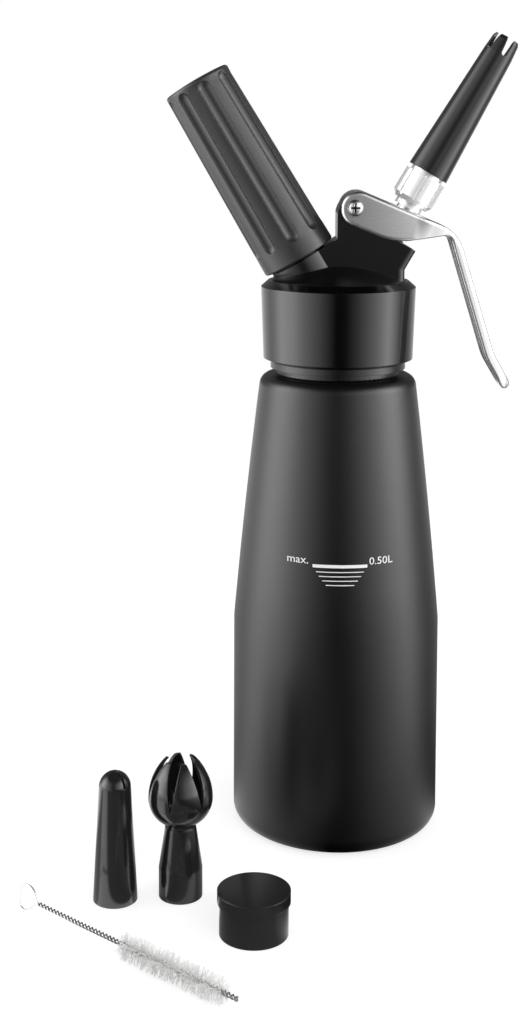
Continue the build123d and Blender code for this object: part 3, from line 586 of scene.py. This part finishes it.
def printed_word(body, left, z, size, width):
    """A word of print as flat faces, from its left end and its baseline."""
    pick_nothing()
    bpy.ops.object.text_add(rotation=FACING_FRONT)
    word = bpy.context.object
    word.data.body = body
    word.data.size = size * MM
    word.data.resolution_u = LETTER_STEPS
    bpy.ops.object.convert(target="MESH")
    word = bpy.context.object
    word.scale.x = width * MM / word.dimensions.x
    word.location = Vector((left, MARK_FRONT, z)) * MM
    apply_place(word)
    return word


def mark_print():
    """Pale screen print, a little uneven in shade and gloss."""
    material, tree, shader = shader_of("mark_print", grey(0.88), 0.45)
    where = place_on(tree)
    coloured(tree, shader, noise(tree, where, 900.0, detail=3.0), grey(0.80), grey(0.92))
    roughened(tree, shader, noise(tree, where, 400.0), 0.38, 0.52)
    return material


mark_pieces = [printed_bar(BAR_WIDTH, BAR_HEIGHT, BAR_Z)]
for number, width in enumerate(LINE_WIDTHS):
    mark_pieces.append(printed_bar(width, LINE_HEIGHT, LINE_Z - LINE_STEP * number))
mark_pieces.append(printed_word("max.", left=-19.9, z=110.9, size=4.1, width=7.6))
mark_pieces.append(printed_word("0.50L", left=10.5, z=110.7, size=3.8, width=8.8))
filling_mark = joined(mark_pieces, "filling_mark")

lay_on = filling_mark.modifiers.new("lay_on", "SHRINKWRAP")
lay_on.target = nodes["bottle"]
lay_on.wrap_method = "PROJECT"
lay_on.use_project_x = False
lay_on.use_project_y = True
lay_on.use_project_z = False
lay_on.use_positive_direction = True
lay_on.use_negative_direction = False
lay_on.offset = MARK_GAP * MM
thicken = filling_mark.modifiers.new("thicken", "SOLIDIFY")
thicken.thickness = MARK_INK * MM
thicken.offset = 1.0
apply_modifiers(filling_mark)
finished(filling_mark, mark_print(), "bottle")
print("filling mark:", len(filling_mark.data.polygons), "faces")

# %% [markdown]
# ## Screw threads
# The solids keep their threaded places plain. Each ridge starts as a rectangle whose crest
# side is drawn in, so that its flanks slope. Its outline is then swept round the axis. The
# neck and the head carry matching ridges, half a pitch apart, so they also pass each other
# while the head is unscrewed.

# %% Thread ridges
CREST_SHARE = 0.35
THREAD_STEPS = 48
THREAD_SMOOTH = 30
STANDING = Matrix.Identity(4)
HOLDER_FRAME = along_axis(HOLDER_CROSSING, HOLDER_TILT)
NOZZLE_FRAME = along_axis(NOZZLE_CROSSING, NOZZLE_TILT)
# Sizes: root radius, crest radius, height of the foot, pitch, start along the axis, turns.
THREADS = (
    ("bottle_thread", (23.2, 24.0, 1.7, 4.0, 185.5, 3), STANDING,
     bottle_coating, "bottle", "bottle_coating"),
    ("head_thread", (24.4, 23.6, 1.6, 4.0, 183.5, 4), STANDING,
     head_moulding, "head", "head_moulding"),
    ("inlet_thread", (10.40, 10.64, 1.5, 2.0, 30.2, 5), HOLDER_FRAME,
     inlet_steel, "head", "turned_steel"),
    ("spigot_thread", (5.30, 5.58, 1.1, 1.5, 69.6, 4), NOZZLE_FRAME,
     bright_chrome, "valve", "bright_chrome"),
)


def thread_ridge(name, root, crest, foot, pitch, start, turns):
    """A helical ridge round +Z. The crest is outside the root, or inside it in the head."""
    middle = (root + crest) / 2
    pick_nothing()
    bpy.ops.mesh.primitive_plane_add(size=1.0, rotation=FACING_FRONT)
    ridge = bpy.context.object
    ridge.name = name
    ridge.scale = (abs(crest - root) * MM, foot * MM, 1.0)
    ridge.location = Vector((middle, 0.0, start)) * MM
    apply_place(ridge)
    side = 1.0 if crest > root else -1.0
    edit(ridge)
    bpy.ops.mesh.select_all(action="DESELECT")
    bpy.ops.object.mode_set(mode="OBJECT")
    for vertex in ridge.data.vertices:
        vertex.select = (vertex.co.x - middle * MM) * side > 0.0
    bpy.ops.object.mode_set(mode="EDIT")
    bpy.ops.transform.resize(value=(1.0, 1.0, CREST_SHARE))
    bpy.ops.mesh.select_all(action="SELECT")
    bpy.ops.mesh.delete(type="ONLY_FACE")
    bpy.ops.object.mode_set(mode="OBJECT")
    return swept(
        ridge, axis="Z", angle=math.tau, climb=pitch * MM, turns=turns, steps=THREAD_STEPS,
        sides=4, degrees=THREAD_SMOOTH,
    )


for name, sizes, place, material, body, slot in THREADS:
    ridge = thread_ridge(name, *sizes)
    ridge.data.transform(place)
    finished(ridge, material, body)
    print(ridge.name, len(ridge.data.polygons), "faces")

# %% [markdown]
# ## The return spring
# The spring stands in the guide's pocket and holds the lever's washer up. When the lever is
# squeezed, the spring has to give way. It is one round section swept into a coil.

# %% Return spring
SPRING_SEAT = 35.0
SPRING_LENGTH = 12.6
SPRING_R = 5.4
SPRING_WIRE_R = 0.55
SPRING_SIDES = 10
SPRING_TURNS = 5.5
SPRING_STEPS = 22
WIRE_SMOOTH = 50

pick_nothing()
bpy.ops.mesh.primitive_circle_add(
    vertices=SPRING_SIDES, radius=SPRING_WIRE_R * MM, rotation=FACING_FRONT
)
return_spring = bpy.context.object
return_spring.name = "return_spring"
return_spring.location = Vector((SPRING_R, 0.0, SPRING_SEAT + SPRING_WIRE_R)) * MM
apply_place(return_spring)
swept(
    return_spring, axis="Z", angle=math.tau * SPRING_TURNS,
    climb=(SPRING_LENGTH - 2 * SPRING_WIRE_R) * MM, turns=1,
    steps=int(SPRING_TURNS * SPRING_STEPS), sides=SPRING_SIDES, degrees=WIRE_SMOOTH,
)
return_spring.data.transform(NOZZLE_FRAME)
finished(return_spring, turned_steel, "head")
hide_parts("valve_spring")
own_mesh(return_spring)
print("return spring:", len(return_spring.data.polygons), "faces")

# %% [markdown]
# ## The cleaning brush
# A tube brush is one steel wire, doubled into a loop for the finger and twisted round nylon
# fibres. Each wire of the twist is a round section swept about the handle, and the loop is a
# curve with a round section.

# %% Brush wire
BRUSH_PLACE = (
    Matrix.Translation(Vector((-105.7, -84.6, 5.0)) * MM)
    @ Matrix.Rotation(math.radians(-40.0), 4, "Z")
)
BRUSH_LENGTH = 91.0
TWIST_PITCH = 3.3
STRAND_R = 0.43
STRAND_GAP = 0.02
STRAND_STRETCH = 1.15
STRAND_SIDES = 8
STRAND_STEPS = 14
LOOP_WIRE_R = 0.33
LOOP_SMOOTH = 60
LOOP_MERGE = 0.00001
# The loop's control points, along the handle and up, from one strand's end to the other's.
LOOP_BEND = (
    (0.6, 0.2), (-0.6, 2.0), (-1.6, 4.2), (-4.9, 5.6), (-8.3, 4.0), (-9.7, -0.6),
    (-9.1, -4.6), (-5.9, -4.6), (-5.2, -4.3), (-3.6, -3.1), (-1.2, -1.0), (0.6, -0.2),
)


def strand(side):
    """One of the two wires of the twist, along +X, from the loop to the tip."""
    pick_nothing()
    bpy.ops.mesh.primitive_circle_add(
        vertices=STRAND_SIDES, radius=STRAND_R * MM, rotation=FACING_SIDE
    )
    wire = bpy.context.object
    wire.location = (0.0, 0.0, side * (STRAND_R + STRAND_GAP) * MM)
    wire.scale = (1.0, STRAND_STRETCH, 1.0)
    apply_place(wire)
    turns = int(BRUSH_LENGTH / TWIST_PITCH)
    return swept(
        wire, axis="X", angle=math.tau, climb=BRUSH_LENGTH / turns * MM, turns=turns,
        steps=STRAND_STEPS, sides=STRAND_SIDES, degrees=WIRE_SMOOTH,
    )


def finger_loop():
    """The wire's bend: up and over, down to a corner near the table, and straight back."""
    pick_nothing()
    bpy.ops.curve.primitive_nurbs_path_add()
    loop = bpy.context.object
    loop.data.splines.clear()
    spline = loop.data.splines.new("NURBS")
    spline.points.add(len(LOOP_BEND) - 1)
    for point, (x, z) in zip(spline.points, LOOP_BEND):
        point.co = (x * MM, 0.0, z * MM, 1.0)
    spline.order_u = 4
    spline.use_endpoint_u = True
    spline.resolution_u = 6
    loop.data.dimensions = "3D"
    loop.data.bevel_depth = LOOP_WIRE_R * MM
    loop.data.bevel_resolution = 2
    loop.data.use_fill_caps = True
    bpy.ops.object.convert(target="MESH")
    loop = bpy.context.object
    edit(loop)
    bpy.ops.mesh.remove_doubles(threshold=LOOP_MERGE)
    close_smooth(LOOP_SMOOTH)
    return loop


brush_handle = joined([strand(1.0), strand(-1.0), finger_loop()], "brush_handle")
brush_handle.data.transform(BRUSH_PLACE)
brush_steel = metal(
    "brush_steel", grey(0.46), grey(0.62), (0.22, 0.34), SPECKS, UNTURNED, 0.000003
)
finished(brush_handle, brush_steel, "brush")
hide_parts("brush_wire")
print("brush wire:", len(brush_handle.data.polygons), "faces")

# %% [markdown]
# ## The brush's fibres
# The twist holds the fibres by their middle and fans them out to both sides. Each fibre is
# one slim three-sided spike, copied with its own mesh. The copies follow the twist with a
# little seeded disorder in place, tilt and length, and grow shorter towards both ends.

# %% Brush fibres
FIBRE_SEED = 7
FIBRE_COUNT = 1500
FIBRE_SIDES = 3
FIBRES_FROM = 41.0
FIBRES_TO = 86.0
FIBRE_REACH = 4.9
FIBRE_FOOT_R = 0.085
FIBRE_TIP_R = 0.05
FIBRE_SHORTEST = 0.86
FIBRE_SPREAD = 0.14
FIBRE_AT_END = 0.72
FIBRE_END_BLEND = 6.0
FAN_DISORDER = 0.55
TILT_DISORDER = 0.10


def fibre_bundle():
    """All fibres as one piece: slim spikes that leave the twist in two fans."""
    shuffle = random.Random(FIBRE_SEED)
    pick_nothing()
    bpy.ops.mesh.primitive_cone_add(
        vertices=FIBRE_SIDES, radius1=FIBRE_FOOT_R * MM, radius2=FIBRE_TIP_R * MM, depth=1.0 * MM,
        end_fill_type="NOTHING", location=(0.0, 0.0, 0.5 * MM),
    )
    spike = bpy.context.object
    apply_place(spike)
    copies = []
    for number in range(FIBRE_COUNT):
        x = FIBRES_FROM + (FIBRES_TO - FIBRES_FROM) * shuffle.random()
        from_end = min(x - FIBRES_FROM, FIBRES_TO - x)
        length = FIBRE_REACH * (FIBRE_SHORTEST + FIBRE_SPREAD * shuffle.random())
        length *= min(1.0, FIBRE_AT_END + from_end / FIBRE_END_BLEND)
        fan = math.tau * x / TWIST_PITCH + math.pi * (number % 2)
        fan += shuffle.gauss(0.0, FAN_DISORDER)
        tilt = shuffle.gauss(0.0, TILT_DISORDER)
        aim = Matrix.Rotation(fan, 4, "X") @ Matrix.Rotation(tilt, 4, "Y")
        stretch = Matrix.Diagonal((1.0, 1.0, length, 1.0))
        copy = spike.copy()
        copy.data = spike.data.copy()
        copy.data.transform(Matrix.Translation((x * MM, 0.0, 0.0)) @ aim @ stretch)
        bpy.context.scene.collection.objects.link(copy)
        copies.append(copy)
    bpy.data.objects.remove(spike, do_unlink=True)
    return joined(copies, "brush_fibres")


def fibre_nylon():
    """White nylon: pale, a little shiny, and each stretch of it a little different."""
    material, tree, shader = shader_of("white_bristle", (0.86, 0.86, 0.85), 0.35)
    where = place_on(tree)
    shade = noise(tree, where, 1400.0)
    coloured(tree, shader, shade, (0.76, 0.76, 0.75), (0.90, 0.90, 0.89))
    roughened(tree, shader, noise(tree, where, 700.0), 0.28, 0.45)
    return material


brush_fibres = fibre_bundle()
brush_fibres.data.transform(BRUSH_PLACE)
finished(brush_fibres, fibre_nylon(), "brush")
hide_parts("brush_bristles")
print("brush fibres:", FIBRE_COUNT, "fibres,", len(brush_fibres.data.polygons), "faces")

# %% [markdown]
# ## Lamps
# Four soft lamps light the pale pieces and the floor. The camera doesn't see them, and
# reflections don't either.

# %% Lamps
STUDIO_CENTRE = Vector((0.0, 0.0, 0.16))
# Azimuth and elevation in degrees, distance, width and height in metres, and power in watts.
LAMPS = (
    ("soft_box_right", 80.0, 22.0, 1.3, 1.6, 1.3, 10.0),
    ("soft_box_left", -98.0, 22.0, 1.3, 1.8, 1.3, 12.0),
    ("soft_box_top", 165.0, 68.0, 1.4, 1.4, 0.9, 4.0),
    ("soft_box_front", 12.0, 35.0, 1.6, 1.2, 0.8, 14.0),
)


def soft_box(name, azimuth, elevation, distance, width, height, watts):
    """A rectangular lamp that looks at the object. Azimuth 0 is the camera's side, 90 is +X."""
    data = bpy.data.lights.new(name, "AREA")
    data.shape = "RECTANGLE"
    data.size = width
    data.size_y = height
    data.energy = watts
    lamp = bpy.data.objects.new(name, data)
    bpy.context.scene.collection.objects.link(lamp)
    turn, rise = math.radians(azimuth), math.radians(elevation)
    level = math.cos(rise)
    away = Vector((math.sin(turn) * level, -math.cos(turn) * level, math.sin(rise)))
    lamp.location = STUDIO_CENTRE + away * distance
    lamp.rotation_euler = away.to_track_quat("Z", "Y").to_euler()
    lamp.visible_camera = False
    lamp.visible_glossy = False


for lamp_values in LAMPS:
    soft_box(*lamp_values)
print("lamps:", len(LAMPS))

# %% [markdown]
# ## Surroundings
# Dark gloss shows little but what it reflects, so the surroundings are what shape it. Large
# graded screens stand left and right of the object, with a dark gap at the camera, a dark
# ceiling and a dim back. The world draws them for reflections only, as a brightness that
# depends on the azimuth. The floor repeats them, more dimly near the bottle and most of all
# close by on its left and right, and has a narrow strip of light beside the spare pieces. To
# the camera all is white.

# %% Screens and floor
BRIGHTEST = 8.0
# Stops of the three sets of screens: azimuth in degrees, and brightness.
WORLD_SCREENS = (
    (-180.0, 0.20), (-140.0, 0.25), (-124.0, 0.45), (-112.0, 2.2), (-96.0, 6.0),
    (-74.0, 4.9), (-55.0, 2.1), (-38.0, 1.3), (-22.0, 0.60), (-6.0, 0.02), (10.0, 0.50),
    (26.0, 1.5), (42.0, 2.4), (60.0, 4.2), (78.0, 7.0), (92.0, 5.5), (104.0, 2.2),
    (122.0, 0.15), (180.0, 0.20),
)
TABLE_SCREENS = (
    (-180.0, 1.0), (-124.0, 1.1), (-112.0, 1.9), (-96.0, 4.4), (-74.0, 4.4), (-55.0, 2.6),
    (-38.0, 1.6), (-22.0, 0.7), (-6.0, 0.0), (10.0, 0.05), (26.0, 0.6), (42.0, 1.5),
    (60.0, 2.8), (78.0, 4.6), (92.0, 2.2), (104.0, 0.6), (122.0, 0.4), (150.0, 0.75),
    (180.0, 1.0),
)
STRIP_SCREENS = (
    (-180.0, 0.3), (-100.0, 0.6), (-88.0, 0.8), (-84.0, 2.4), (-56.0, 2.2), (-47.0, 0.3),
    (0.0, 0.2), (58.0, 0.35), (68.0, 1.1), (84.0, 1.1), (94.0, 0.3), (180.0, 0.3),
)
BOTTLE_AT = Vector((0.0, 0.0, 0.0)) * MM
BOTTLE_LEFT = Vector((-75.0, 5.0, 0.0)) * MM
BOTTLE_RIGHT = Vector((90.0, 0.0, 0.0)) * MM
SPARES_AT = Vector((-66.0, -74.0, 0.0)) * MM
SPARES_FRONT = Vector((-120.0, -150.0, 0.0)) * MM
# Rings on the floor: centre, inner and outer radius in metres, and the value at each.
DIM_RINGS = (
    (BOTTLE_AT, 0.12, 0.9, 0.45, 1.0),
    (BOTTLE_RIGHT, 0.02, 0.11, 0.35, 1.0),
    (BOTTLE_LEFT, 0.0, 0.10, 0.5, 1.0),
)
STRIP_RING = (SPARES_FRONT, 0.115, 0.135, 0.0, 1.0)
WHITE_RING = (BOTTLE_AT, 0.35, 0.9, 0.0, 1.0)
CEILING_FROM = 0.45
CEILING_TO = 0.80
FILL_LIGHT = 0.30
FLOOR_SIZE = 12.0
FLOOR_Z = -0.2
FLOOR_SHADE = 0.36
FLOOR_GLOW = 0.72


def screens(tree, direction, stops):
    """The brightness that a reflection finds in a direction, read from its azimuth."""
    axes = separated(tree, direction)
    front = calculated(tree, "MULTIPLY", axes["Y"], -1.0)
    azimuth = calculated(tree, "ARCTAN2", axes["X"], front)
    ramp = add_node(tree, "ShaderNodeValToRGB")
    elements = ramp.color_ramp.elements
    elements.remove(elements[1])
    for index, (angle, brightness) in enumerate(stops):
        position = angle / 360.0 + 0.5
        element = elements.new(position) if index else elements[0]
        element.position = position
        element.color = (*grey(brightness / BRIGHTEST), 1.0)
    tree.links.new(mapped(tree, azimuth, -math.pi, math.pi), ramp.inputs["Fac"])
    return mapped(tree, ramp.outputs["Color"], 0.0, 1.0, 0.0, BRIGHTEST)


def ring(tree, where, centre, inner, outer, low, high):
    """A value that runs from low to high as the distance from a centre goes outwards."""
    away = vector_step(tree, "DISTANCE", "Value", where, centre)
    return mapped(tree, away, inner, outer, low, high)


def reflecting(tree, ray):
    """1 for a ray that comes from a reflection or through a clear piece, and 0 otherwise."""
    return calculated(
        tree, "MAXIMUM", ray.outputs["Is Glossy Ray"], ray.outputs["Is Transmission Ray"]
    )


def studio_world():
    """White to the camera. Reflections see the screens, which end below a dark ceiling."""
    world = bpy.data.worlds.new("studio_world")
    bpy.context.scene.world = world
    world.use_nodes = True
    tree = world.node_tree
    backdrop = tree.nodes["Background"]
    backdrop.inputs["Color"].default_value = (1.0, 1.0, 1.0, 1.0)
    ray = add_node(tree, "ShaderNodeLightPath")
    direction = add_node(tree, "ShaderNodeTexCoord").outputs["Generated"]
    rise = separated(tree, direction)["Z"]
    below_ceiling = mapped(tree, rise, CEILING_FROM, CEILING_TO, 1.0, 0.0)
    around = screens(tree, direction, WORLD_SCREENS)
    seen = calculated(tree, "MULTIPLY", around, below_ceiling)
    strength = mixed(tree, "FLOAT", reflecting(tree, ray), FILL_LIGHT, seen)
    strength = mixed(tree, "FLOAT", ray.outputs["Is Camera Ray"], strength, 1.0)
    tree.links.new(strength, backdrop.inputs["Strength"])


def floor_glimpse(tree, where):
    """What a reflection sees of the floor: the dimmed screens, or the strip by the spares."""
    around = screens(tree, where, TABLE_SCREENS)
    for dim_ring in DIM_RINGS:
        around = calculated(tree, "MULTIPLY", around, ring(tree, where, *dim_ring))
    from_spares = vector_step(tree, "SUBTRACT", "Vector", where, SPARES_AT)
    beside = screens(tree, from_spares, STRIP_SCREENS)
    return mixed(tree, "FLOAT", ring(tree, where, *STRIP_RING), beside, around)


def studio_floor():
    """A wide white floor that keeps the object's shadow and turns plain white further out."""
    pick_nothing()
    bpy.ops.mesh.primitive_plane_add(size=FLOOR_SIZE, location=(0.0, 0.0, FLOOR_Z * MM))
    floor = bpy.context.object
    floor.name = "studio_floor"
    apply_place(floor)
    material, tree, shader = shader_of("studio_floor", grey(FLOOR_SHADE), 0.8)
    ray = add_node(tree, "ShaderNodeLightPath")
    where = place_on(tree)
    lit = mixed(tree, "FLOAT", ray.outputs["Is Camera Ray"], 0.0, FLOOR_GLOW)
    shader.inputs["Emission Color"].default_value = (1.0, 1.0, 1.0, 1.0)
    tree.links.new(lit, shader.inputs["Emission Strength"])
    shiny = reflecting(tree, ray)
    glow = add_node(tree, "ShaderNodeEmission")
    strength = mixed(tree, "FLOAT", shiny, 1.0, floor_glimpse(tree, where))
    tree.links.new(strength, glow.inputs["Strength"])
    both = add_node(tree, "ShaderNodeMixShader")
    plain = calculated(tree, "MAXIMUM", ring(tree, where, *WHITE_RING), shiny)
    tree.links.new(plain, both.inputs["Fac"])
    tree.links.new(shader.outputs["BSDF"], both.inputs[1])
    tree.links.new(glow.outputs["Emission"], both.inputs[2])
    tree.links.new(both.outputs["Shader"], tree.nodes["Material Output"].inputs["Surface"])
    floor.data.materials.append(material)


studio_world()
studio_floor()
bpy.context.scene.view_settings.view_transform = "Standard"
print("studio: graded screens for the reflections, a white floor")
